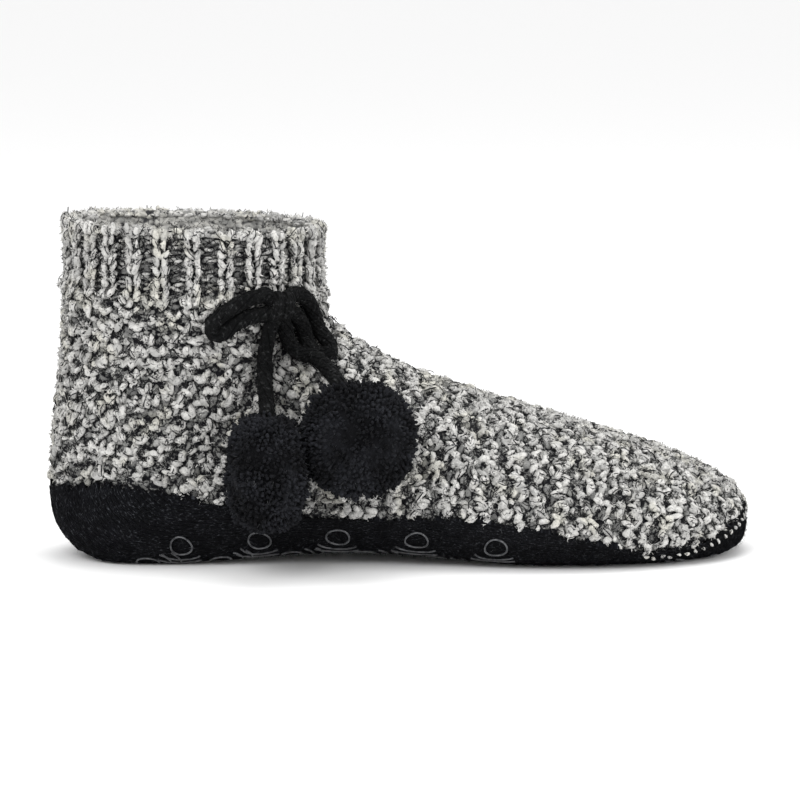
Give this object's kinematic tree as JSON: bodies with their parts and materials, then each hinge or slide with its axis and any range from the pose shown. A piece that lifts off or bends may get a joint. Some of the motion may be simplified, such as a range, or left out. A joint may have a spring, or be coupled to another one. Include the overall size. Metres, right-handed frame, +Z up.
{
  "type": "slipper sock",
  "caption": "Ankle-high knitted slipper sock with a ribbed cuff, a darker sock sole with gripper rings, and a cord bow ending in pompoms.",
  "frame": {"origin": "on the floor, under the middle of the sock's length and width, bow and pompoms left out", "axes": "+X to the toe, +Z up out of the collar, -Y to the outer side of the right foot, where the bow is"},
  "size_m": [0.245, 0.1121, 0.1188],
  "materials": {
    "marled_knit": "bulky marled knit, off-white with dark thread",
    "sole_knit": "fine black chenille knit",
    "tie_cord": "soft black knitted cord",
    "pompom_yarn": "dense cut black yarn"
  },
  "bodies": {
    "root": {"upper": "marled_knit", "sole": "sole_knit", "bow_knot": "tie_cord", "bow_loop_back": "tie_cord", "bow_loop_front": "tie_cord", "tie_end_back": "tie_cord", "tie_end_front": "tie_cord", "pompom_back": "pompom_yarn", "pompom_front": "pompom_yarn"}
  },
  "joints": []
}
